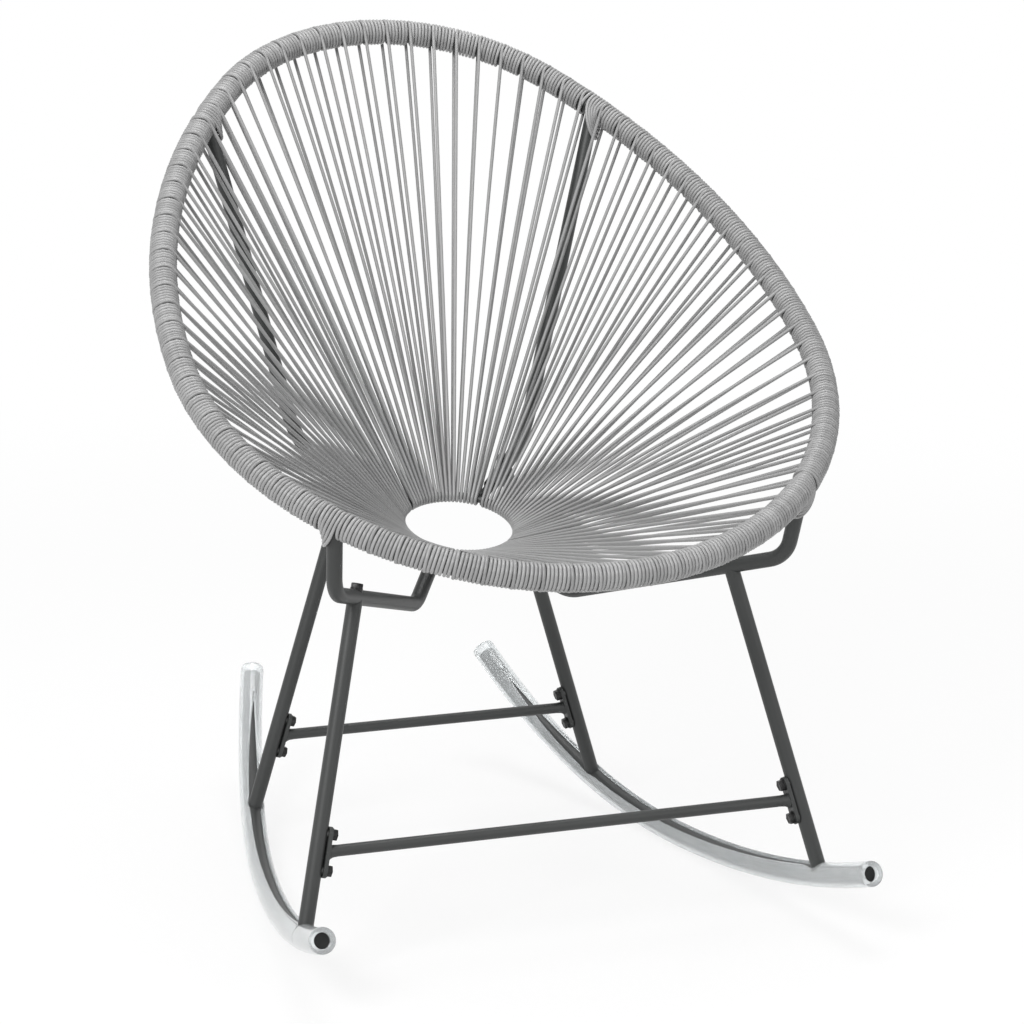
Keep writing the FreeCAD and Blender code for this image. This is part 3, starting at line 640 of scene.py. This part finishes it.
def round_cord(name, lines, steps):
    """A mesh of closed loops of round cord along smooth lines."""
    curve = bpy.data.curves.new(name, "CURVE")
    curve.dimensions = "3D"
    curve.resolution_u = steps
    curve.bevel_depth = CORD / 2
    curve.bevel_resolution = CORD_ROUNDNESS
    for line in lines:
        spline = curve.splines.new("BEZIER")
        spline.bezier_points.add(len(line) - 1)
        spline.use_cyclic_u = True
        for point, (place, before, after) in zip(spline.bezier_points, line):
            point.handle_left_type = "FREE"
            point.handle_right_type = "FREE"
            point.co = place
            point.handle_left = before
            point.handle_right = after
    piece = bpy.data.objects.new(name, curve)
    scene.collection.objects.link(piece)
    pick(piece)
    bpy.ops.object.convert(target="MESH")
    piece = bpy.context.object
    tone_by_run(piece, len(piece.data.vertices) // len(lines))
    smooth(piece, SMOOTH_CORD)
    return piece


# Turns at the four frame tubes: even over the rim, bunched beside the tube below it

LASHING_KNOTS = 14
LASHING_STEPS = 3
LASHING_GAP = 0.0005
BUNCH_TURNS = 5
BUNCH_STEP = 0.00416
BESIDE_TUBE = FRAME_TUBE / 2 + CORD / 2 + LASHING_GAP


def lashing_turn(joint_arc, tube_end, beside, place, hugs):
    """One closed turn: its arc from the tube, its place in the bunch, and if it follows the tube (1 or 0)."""
    rim, along = rim_at(joint_arc)
    down = square_to(tube_end - rim, along)
    side = along.cross(down)
    lean = hugs * (tube_end - rim).dot(along) / (tube_end - rim).dot(down)
    points = []
    for index in range(LASHING_KNOTS):
        angle = 2 * math.pi * index / LASHING_KNOTS
        stacking = math.pi / 4 * (1 - math.cos(angle))
        spread = place * BUNCH_STEP * math.cos(stacking)
        sunk = place * CORD * math.sin(stacking)
        depth = sunk - LAY * math.cos(angle)
        centre = rim_at(joint_arc + beside + spread)[0] + along * lean * max(0.0, depth)
        points.append(centre + side * LAY * math.sin(angle) + down * depth)
    turn = []
    for index, point in enumerate(points):
        swing = (points[(index + 1) % LASHING_KNOTS] - points[index - 1]) / 6
        turn.append((point, point - swing, point + swing))
    return turn


def lashing(joint_arc, tube_end):
    """A single turn on one side of a frame tube and the bunch on its other side."""
    turns = [lashing_turn(joint_arc, tube_end, BESIDE_TUBE, 0, 0)]
    for place in range(BUNCH_TURNS):
        turns.append(lashing_turn(joint_arc, tube_end, -BESIDE_TUBE, place, 1))
    return turns


lashings = round_cord("joint_lashings", (
    lashing(FRONT_START, mirrored(FRONT_BEND)) + lashing(RIGHT_START, FRONT_BEND)
    + lashing(BACK_START, STAY_BEND) + lashing(LEFT_START, mirrored(STAY_BEND))), LASHING_STEPS)
hand_over(lashings, WOUND_CORD, "cord", "rim_wrap")

# Cords strung from the rim to the ring. A quarter circle's handles are QUARTER_TURN radii long

STRUNG_STEPS = 8
QUARTER_TURN = 0.5523
LOOP = RING_ROD / 2 + CORD / 2 + CORD_CLEARANCE
JOINT_GAP = math.degrees((TONGUE / 2 + TONGUE_CLEARANCE + CORD / 2) / RING_RADIUS)


def strung_loop(arc, angle):
    """One cord's closed line: in over the rim, round the ring's rod, back under and round the rim."""
    rim, along = rim_at(arc)
    ring, outward = ring_at(angle)
    reach = (rim - ring).normalized()
    ring_lift = RING_UP.cross(outward).cross(reach).normalized()
    if ring_lift.dot(RING_UP) < 0:
        ring_lift.negate()
    rim_lift = along.cross(reach).normalized()
    if rim_lift.dot(RIM_UP) < 0:
        rim_lift.negate()
    rim_out = square_to(reach, along)
    ring_top = ring + ring_lift * LOOP
    ring_under = ring - ring_lift * LOOP
    rim_top = rim + rim_lift * LAY
    rim_under = rim - rim_lift * LAY
    inbound = (ring_top - rim_top).normalized()
    outbound = (rim_under - ring_under).normalized()
    run = (ring_top - rim_top).length / 3
    ring_hook = LOOP * QUARTER_TURN
    rim_hook = LAY * QUARTER_TURN
    return (
        knot(rim_top, inbound, rim_hook, run),
        knot(ring_top, inbound, run, ring_hook),
        knot(ring - reach * LOOP, -ring_lift, ring_hook, ring_hook),
        knot(ring_under, outbound, ring_hook, run),
        knot(rim_under, outbound, run, rim_hook),
        knot(rim + rim_out * LAY, rim_lift, rim_hook, rim_hook),
    )


def string_zone(start, cords, first_angle, last_angle):
    step = (last_angle - first_angle - 2 * JOINT_GAP) / (cords - 1)
    lines = []
    for index in range(cords):
        arc = start + JOINT_ROOM + index * cord_step(cords)
        lines.append(strung_loop(arc, first_angle + JOINT_GAP + index * step))
    return lines


for zone, start, cords, first_angle, last_angle in ZONES:
    lines = string_zone(start, cords, first_angle, last_angle)
    strung = round_cord("strung_cords_" + zone, lines, STRUNG_STEPS)
    hand_over(strung, SHADED_STRUNG, "cord", "seat_cords_" + zone)

# Slit hoses over the rockers

HOSE_SIDES = 32
HOSE_RINGS = 270
HOSE_STEP = (HOSE_REAR - HOSE_FRONT) / HOSE_RINGS
HOSE_SPANS = 16
LEG_PLAY = 0.0004
LEG_HUG = LEG_TUBE / 2 + LEG_PLAY
LEG_TENT = 0.022
FRONT_LIPS = 0.0046
LIPS_GAIN = 0.0036
REAR_LIPS = 0.0082
LIPS_TAPER = 1.8
UNCUT_REAR = 0.048
END_LIP = 0.0082
END_LIP_REACH = 2.5 * HOSE_STEP
SOFT_EDGE = 0.0009
SHARP_EDGE = math.radians(50)


def on_ring(arc):
    """The hose mesh's ring that is nearest to an arc of the rocker."""
    return HOSE_FRONT + round((arc - HOSE_FRONT) / HOSE_STEP) * HOSE_STEP


SLIT_START = on_ring(FRONT_LEG.crossing - LEG_HUG)
SLIT_END = on_ring(HOSE_REAR - UNCUT_REAR)


def slit_half(arc):
    """Half the slit's width: tight round the front leg, wider towards the rear leg, a point behind that."""
    if arc <= SLIT_START or arc >= SLIT_END:
        return 0.0
    front = arc - FRONT_LEG.crossing
    rear = arc - REAR_LEG.crossing
    if front < 0:
        return LEG_HUG * math.sqrt(max(0.0, 1 - (front / (FRONT_LEG.crossing - SLIT_START)) ** 2))
    lips = FRONT_LIPS + LIPS_GAIN * min(1.0, front / (REAR_LEG.crossing - FRONT_LEG.crossing))
    if rear > 0:
        lips = REAR_LIPS * (1 - (rear / (SLIT_END - REAR_LEG.crossing)) ** LIPS_TAPER)
    tent = LEG_HUG * max(math.exp(-(front / LEG_TENT) ** 2), math.exp(-(rear / LEG_TENT) ** 2))
    return (lips ** 4 + tent ** 4) ** 0.25


def slit_swing(arc):
    """How far the slit is pulled to one side by the legs that stand in it."""
    share = (arc - FRONT_LEG.crossing) / (REAR_LEG.crossing - FRONT_LEG.crossing)
    share = min(1.0, max(0.0, share))
    return FRONT_LEG.swing + (REAR_LEG.swing - FRONT_LEG.swing) * share


def slit_hose(name, hand):
    """A hose cut along its top, its lips opened round the legs, bent to the rocker's line."""
    put_down_all()
    bpy.ops.mesh.primitive_cylinder_add(
        vertices=HOSE_SIDES, radius=HOSE_RADIUS, depth=HOSE_STEP, end_fill_type="NOTHING",
        location=(HOSE_STEP / 2, 0, 0), rotation=(0, math.pi / 2, 0))
    hose = bpy.context.object
    apply_place(hose)
    array(hose, HOSE_RINGS, HOSE_STEP, True)
    mesh = hose.data
    first = SLIT_START - HOSE_FRONT - HOSE_STEP / 4
    last = SLIT_END - HOSE_FRONT + HOSE_STEP / 4

    def on_top(point):
        return abs(point.y) < SAME_PLACE and point.z > 0

    def along_slit(edge):
        ends = [mesh.vertices[index].co for index in edge.vertices]
        return all(on_top(end) and first < end.x < last for end in ends)

    choose(hose, "EDGE", along_slit)
    bpy.ops.mesh.edge_split(type="EDGE")
    bpy.ops.mesh.select_all(action="SELECT")
    bpy.ops.mesh.normals_make_consistent(inside=False)
    bpy.ops.object.mode_set(mode="OBJECT")
    leaning = [0] * len(mesh.vertices)
    for face in mesh.polygons:
        for index in face.vertices:
            leaning[index] += math.copysign(1, face.center.y)
    for vertex, lean in zip(mesh.vertices, leaning):
        arc = HOSE_FRONT + vertex.co.x
        if on_top(vertex.co):
            share = 0.0
        else:
            share = abs(math.atan2(vertex.co.y, vertex.co.z)) / math.pi
            lean = vertex.co.y or 1.0
        gape = math.asin(slit_half(arc) / HOSE_RADIUS)
        turn = math.copysign(gape + (math.pi - gape) * share, lean) if lean else 0.0
        turn += hand * slit_swing(arc) * (1 - share)
        vertex.co.y = HOSE_RADIUS * math.sin(turn)
        vertex.co.z = HOSE_RADIUS * math.cos(turn)
    wall = hose.modifiers.new("wall", "SOLIDIFY")
    wall.thickness = HOSE_WALL
    wall.offset = -1
    apply_modifiers(hose)
    for vertex in hose.data.vertices:
        to_end = min(vertex.co.x, HOSE_REAR - HOSE_FRONT - vertex.co.x)
        radius = math.hypot(vertex.co.y, vertex.co.z)
        if to_end < END_LIP_REACH and radius < HOSE_RADIUS - HOSE_WALL / 2:
            vertex.co.y *= END_LIP / radius
            vertex.co.z *= END_LIP / radius
    soft = hose.modifiers.new("soft_edges", "BEVEL")
    soft.width = SOFT_EDGE
    soft.segments = 2
    soft.limit_method = "ANGLE"
    soft.angle_limit = SHARP_EDGE
    apply_modifiers(hose)
    bend_along(hose, guide_along(bow_at, HOSE_FRONT, HOSE_REAR, HOSE_SPANS))
    low, backward, up = ROCKER_LOW, ROCKER_BACKWARD, ROCKER_UP
    if hand < 0:
        low, backward, up = mirrored(low), mirrored(backward), mirrored(up)
    stand(hose, low, backward, up.cross(backward), up)
    hose.name = name
    smooth(hose, SMOOTH_HOSE)
    return hose


for side, hand in (("right", 1), ("left", -1)):
    hose = slit_hose("slit_hose_" + side, hand)
    hand_over(hose, HOSE, "clear_hose", "rocker_sleeve_" + side)

# Bolts with chamfered hexagon heads, drawn along +Z from their seats

CROWN_CHAMFER = 0.0011
CORNER_CHAMFER = 0.0004
DISH_RIM = 0.0012
DISH_DEPTH = 0.0005
SHANK_SIDES = 16
SHANK_CHAMFER = 0.0008


def hexagon_bolt(shank_length):
    put_down_all()
    bpy.ops.mesh.primitive_cylinder_add(
        vertices=6, radius=BOLT_FLATS / math.sqrt(3), depth=BOLT_HEAD, location=(0, 0, BOLT_HEAD / 2))
    head = bpy.context.object
    apply_place(head)

    def crown_edge(edge):
        return all(head.data.vertices[index].co.z > BOLT_HEAD * 0.9 for index in edge.vertices)

    choose(head, "EDGE", crown_edge)
    bpy.ops.mesh.bevel(offset=CROWN_CHAMFER, segments=2, affect="EDGES")
    bpy.ops.object.mode_set(mode="OBJECT")
    choose(head, "FACE", lambda face: face.normal.z > 0.99)
    bpy.ops.mesh.inset(thickness=DISH_RIM, depth=-DISH_DEPTH)
    bpy.ops.object.mode_set(mode="OBJECT")

    def corner_edge(edge):
        first, second = [head.data.vertices[index].co for index in edge.vertices]
        return abs(first.z - second.z) > BOLT_HEAD * 0.4 and (first - second).xy.length < SAME_PLACE

    choose(head, "EDGE", corner_edge)
    bpy.ops.mesh.bevel(offset=CORNER_CHAMFER, segments=2, affect="EDGES")
    bpy.ops.object.mode_set(mode="OBJECT")
    put_down_all()
    bpy.ops.mesh.primitive_cylinder_add(
        vertices=SHANK_SIDES, radius=BOLT / 2, depth=shank_length, location=(0, 0, -shank_length / 2))
    shank = bpy.context.object
    apply_place(shank)

    def tip_edge(edge):
        return all(shank.data.vertices[index].co.z < -shank_length * 0.9 for index in edge.vertices)

    choose(shank, "EDGE", tip_edge)
    bpy.ops.mesh.bevel(offset=SHANK_CHAMFER, segments=1, affect="EDGES")
    bpy.ops.object.mode_set(mode="OBJECT")
    return join([head, shank], "hexagon_bolt")


def bolts_at(name, pattern, seats):
    """A bolt at each seat (place, way ahead, way across) on the right side, and one opposite it."""
    bolts = []
    for seat in seats:
        for place, z_way, x_way in (seat, [mirrored(vector) for vector in seat]):
            bolt = copy_of(pattern)
            stand(bolt, place, x_way, z_way.cross(x_way), z_way)
            bolts.append(bolt)
    bpy.data.objects.remove(pattern)
    whole = join(bolts, name)
    smooth(whole, SMOOTH_BOLT)
    return whole


side_seats = []
top_seats = []
for leg in (FRONT_LEG, REAR_LEG):
    for offset in (-BOLT_SPACING / 2, BOLT_SPACING / 2):
        seat = leg.plate_face + leg.down * offset + leg.inner * (PLATE + WASHER)
        side_seats.append((seat, leg.inner, leg.down))
    top_seats.append((leg.top - leg.down * (FRAME_TUBE / 2 + SADDLE), -leg.down, leg.inner))
side_bolts = bolts_at("hexagon_side_bolts", hexagon_bolt(SIDE_BOLT_LENGTH), side_seats)
hand_over(side_bolts, PLATED, "black_hardware", "stretcher_bolts")
top_bolts = bolts_at("hexagon_leg_bolts", hexagon_bolt(LEG_BOLT_LENGTH), top_seats)
hand_over(top_bolts, PLATED, "black_hardware", "leg_top_bolts")

# Flared ends of the cross bars, where they run out into their plates, drawn along +X.
# A row is a place along the bar, in metres, and half the height and width there, in millimetres

FLARE = ((-0.0005, 9.0, 6.8), (0.0015, 7.5, 6.5), (0.004, 6.5, 6.3), (0.009, 6.1, 6.1))
FLARE_SIDES = 24
MILLIMETRE = 0.001


def flared_end():
    put_down_all()
    bpy.ops.mesh.primitive_circle_add(
        vertices=FLARE_SIDES, radius=MILLIMETRE, rotation=(0, math.pi / 2, 0))
    flare = bpy.context.object
    apply_place(flare)
    bpy.ops.object.mode_set(mode="EDIT")
    bpy.ops.mesh.select_all(action="SELECT")
    along, tall, wide = FLARE[0]
    bpy.ops.transform.resize(value=(1, wide, tall), center_override=(0, 0, 0))
    bpy.ops.transform.translate(value=(along, 0, 0))
    for reach, height, width in FLARE[1:]:
        bpy.ops.mesh.extrude_region_move(TRANSFORM_OT_translate={"value": (reach - along, 0, 0)})
        bpy.ops.transform.resize(value=(1, width / wide, height / tall), center_override=(reach, 0, 0))
        along, tall, wide = reach, height, width
    bpy.ops.mesh.select_all(action="SELECT")
    bpy.ops.mesh.normals_make_consistent(inside=False)
    bpy.ops.object.mode_set(mode="OBJECT")
    return flare


pattern = flared_end()
flares = []
for leg in (FRONT_LEG, REAR_LEG):
    face = leg.plate_face + leg.inner * PLATE
    place = Vector((face.x, leg.plate_face.y, leg.plate_face.z))
    tall_way = square_to(leg.down, X_AXIS)
    for seat, x_way, z_way in ((place, -X_AXIS, tall_way), (mirrored(place), X_AXIS, tall_way)):
        flare = copy_of(pattern)
        stand(flare, seat, x_way, z_way.cross(x_way), z_way)
        flares.append(flare)
bpy.data.objects.remove(pattern)
flares = join(flares, "stretcher_flares")
smooth(flares, SMOOTH_FLARE)
hand_over(flares, POWDER, "frame_paint")

# Floor, light and camera

FLOOR_SIZE = 40
SHADOW_NEAR = 0.5
SHADOW_FAR = 2.6
GLOW_NEAR = 0.82
GLOW_FAR = 1.0
WHITE = (1, 1, 1, 1)
ROOM_LIGHT = 0.34
ROOM_SEEN = 1.0
LAMP_AIM = Vector((0, 0, 0.4))
CAMERA_PLACE = (-1.20194, -3.24748, 1.24315)
CAMERA_YAW = math.radians(20.90)
CAMERA_PITCH = math.radians(13.61)
CAMERA_ROLL = math.radians(0.77)
FOCAL_PIXELS = 3300
PHOTO_PIXELS = 1024
SENSOR = 36
FARTHEST_SEEN = 60


def seen_rays(tree):
    """A factor that is 1 for what the eye, a reflection or a clear piece sees, and 0 for light."""
    ray = tree.nodes.new("ShaderNodeLightPath")
    seen = ray.outputs["Is Camera Ray"]
    for name in ("Is Glossy Ray", "Is Transmission Ray"):
        either = tree.nodes.new("ShaderNodeMath")
        either.operation = "MAXIMUM"
        tree.links.new(seen, either.inputs[0])
        tree.links.new(ray.outputs[name], either.inputs[1])
        seen = either.outputs[0]
    return seen


def floor_finish():
    """Pale floor with a soft shadow near the chair that runs out into plain white."""
    pale = Finish("pale_floor")
    pale.set(Base_Color=(0.92, 0.92, 0.92, 1), Roughness=0.9, Specular_IOR_Level=0.2)
    tree = pale.tree
    glow = pale.node("Emission")
    reach = pale.node("VectorMath", operation="LENGTH")
    pale.link(pale.place, reach.inputs[0])
    away = pale.node("MapRange", interpolation_type="SMOOTHSTEP")
    away.inputs["From Min"].default_value = SHADOW_NEAR
    away.inputs["From Max"].default_value = SHADOW_FAR
    away.inputs["To Min"].default_value = GLOW_NEAR
    away.inputs["To Max"].default_value = GLOW_FAR
    pale.link(reach.outputs["Value"], away.inputs["Value"])
    share = pale.node("Math", operation="MULTIPLY")
    pale.link(seen_rays(tree), share.inputs[0])
    pale.link(away.outputs["Result"], share.inputs[1])
    blend = pale.node("MixShader")
    pale.link(share.outputs[0], blend.inputs["Fac"])
    pale.link(pale.shader.outputs["BSDF"], blend.inputs[1])
    pale.link(glow.outputs["Emission"], blend.inputs[2])
    pale.link(blend.outputs["Shader"], tree.nodes["Material Output"].inputs["Surface"])
    return pale.material


put_down_all()
bpy.ops.mesh.primitive_plane_add(size=FLOOR_SIZE, location=(0, 0, 0))
floor = bpy.context.object
floor.name = "floor"
floor.data.materials.append(floor_finish())

world = bpy.data.worlds.new("studio")
scene.world = world
world.use_nodes = True
sky_tree = world.node_tree
sky = sky_tree.nodes["Background"]
sky.inputs["Color"].default_value = WHITE
sky.inputs["Strength"].default_value = ROOM_LIGHT
room = sky_tree.nodes.new("ShaderNodeBackground")
room.inputs["Color"].default_value = WHITE
room.inputs["Strength"].default_value = ROOM_SEEN
backdrop = sky_tree.nodes.new("ShaderNodeMixShader")
sky_tree.links.new(seen_rays(sky_tree), backdrop.inputs["Fac"])
sky_tree.links.new(sky.outputs["Background"], backdrop.inputs[1])
sky_tree.links.new(room.outputs["Background"], backdrop.inputs[2])
sky_tree.links.new(backdrop.outputs["Shader"], sky_tree.nodes["World Output"].inputs["Surface"])


def soft_box(name, place, width, watts):
    """A square lamp that looks at the middle of the chair."""
    lamp = bpy.data.lights.new(name, "AREA")
    lamp.shape = "SQUARE"
    lamp.size = width
    lamp.energy = watts
    holder = bpy.data.objects.new(name, lamp)
    holder.location = place
    holder.rotation_euler = (LAMP_AIM - Vector(place)).to_track_quat("-Z", "Y").to_euler()
    scene.collection.objects.link(holder)


soft_box("key_soft_box", (-2.2, -1.8, 2.4), 1.4, 82)
soft_box("fill_soft_box", (1.8, -2.6, 1.6), 2.0, 13)
soft_box("top_soft_box", (0.2, 0.3, 3.0), 1.6, 46)


def photo_camera():
    """Camera at the photograph's place, with its turn, tilt and small roll."""
    level = Vector((math.sin(CAMERA_YAW), math.cos(CAMERA_YAW), 0))
    ahead = level * math.cos(CAMERA_PITCH) - UPRIGHT * math.sin(CAMERA_PITCH)
    right = Vector((math.cos(CAMERA_YAW), -math.sin(CAMERA_YAW), 0))
    up = right.cross(ahead)
    rolled_right = right * math.cos(CAMERA_ROLL) + up * math.sin(CAMERA_ROLL)
    rolled_up = up * math.cos(CAMERA_ROLL) - right * math.sin(CAMERA_ROLL)
    lens = bpy.data.cameras.new("photo_camera")
    lens.sensor_width = SENSOR
    lens.lens = FOCAL_PIXELS / PHOTO_PIXELS * SENSOR
    lens.clip_end = FARTHEST_SEEN
    holder = bpy.data.objects.new("photo_camera", lens)
    turn = Matrix((rolled_right, rolled_up, -ahead)).transposed().to_4x4()
    holder.matrix_world = Matrix.Translation(CAMERA_PLACE) @ turn
    scene.collection.objects.link(holder)
    scene.camera = holder


photo_camera()
put_down_all()
